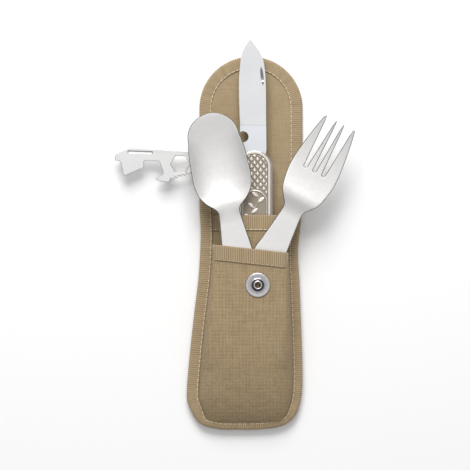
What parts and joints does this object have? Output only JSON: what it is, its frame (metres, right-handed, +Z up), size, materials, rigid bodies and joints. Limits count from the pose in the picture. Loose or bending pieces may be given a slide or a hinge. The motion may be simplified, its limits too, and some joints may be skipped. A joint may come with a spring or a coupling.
{
  "type": "picnic cutlery set",
  "caption": "Folding knife with can opener, cap lifter and wrench hole, a spoon and a fork, standing in the two pockets of an open canvas belt pouch with a snap flap.",
  "frame": {"origin": "on the back face of the belt loop, in the middle of the pouch's width, with the open set lying on its back", "axes": "+Y towards the flap and the blade's tip, +X towards the fork, +Z up out of the pouch's front"},
  "size_m": [0.1433, 0.2342, 0.0248],
  "materials": {
    "canvas": "woven canvas",
    "lining": "fine woven cloth",
    "edge_tape": "ribbed grosgrain tape",
    "webbing": "flat webbing",
    "stitch_thread": "cream thread",
    "snap_metal": "nickel-plated, satin",
    "cast_silver": "cast, antique silver",
    "knife_steel": "ground",
    "blade_steel": "fine ground",
    "satin_steel": "satin stainless"
  },
  "bodies": {
    "pouch": {"belt_loop": "webbing", "back_panel": "canvas", "body_lining": "lining", "body_edge_tape": "edge_tape", "knife_pocket": "canvas", "knife_pocket_tape": "edge_tape", "cutlery_pocket": "canvas", "cutlery_pocket_tape": "edge_tape", "snap_stud": "snap_metal", "snap_post": "snap_metal"},
    "flap": {"flap_panel": "canvas", "flap_lining": "lining", "flap_edge_tape": "edge_tape", "snap_socket": "snap_metal", "snap_spring": "snap_metal", "snap_cap": "snap_metal"},
    "knife": {"front_scale": "cast_silver", "rear_scale": "cast_silver", "front_liner": "knife_steel", "middle_liner": "knife_steel", "rear_liner": "knife_steel", "blade_spring": "knife_steel", "opener_spring": "knife_steel", "pivot_pin": "knife_steel", "spring_pin": "knife_steel", "end_pin": "knife_steel"},
    "blade": {"knife_blade": "blade_steel"},
    "opener": {"opener": "blade_steel"},
    "spoon": {"spoon": "satin_steel"},
    "fork": {"fork": "satin_steel"}
  },
  "joints": [
    {"name": "flap_fold", "type": "hinge", "parent": "pouch", "child": "flap", "pos_m": [0, 0.0354, 0], "axis": [1, 0, 0], "range_deg": [-90, 0]},
    {"name": "knife_draw", "type": "slide", "parent": "pouch", "child": "knife", "axis": [0, 1, 0], "range_m": [0, 0.07], "deforming": ["knife_pocket", "knife_pocket_tape", "cutlery_pocket", "cutlery_pocket_tape"]},
    {"name": "blade_fold", "type": "hinge", "parent": "knife", "child": "blade", "pos_m": [0.0011, 0.0454, 0.0104], "axis": [0, 0, 1], "range_deg": [0, 180]},
    {"name": "opener_fold", "type": "hinge", "parent": "knife", "child": "opener", "pos_m": [0.0011, 0.0454, 0.0077], "axis": [0, 0, 1], "range_deg": [-88, 89]},
    {"name": "spoon_draw", "type": "slide", "parent": "pouch", "child": "spoon", "axis": [-0.2062, 0.9785, 0], "range_m": [0, 0.042]},
    {"name": "fork_draw", "type": "slide", "parent": "pouch", "child": "fork", "axis": [0.4756, 0.8796, 0], "range_m": [0, 0.037]}
  ]
}
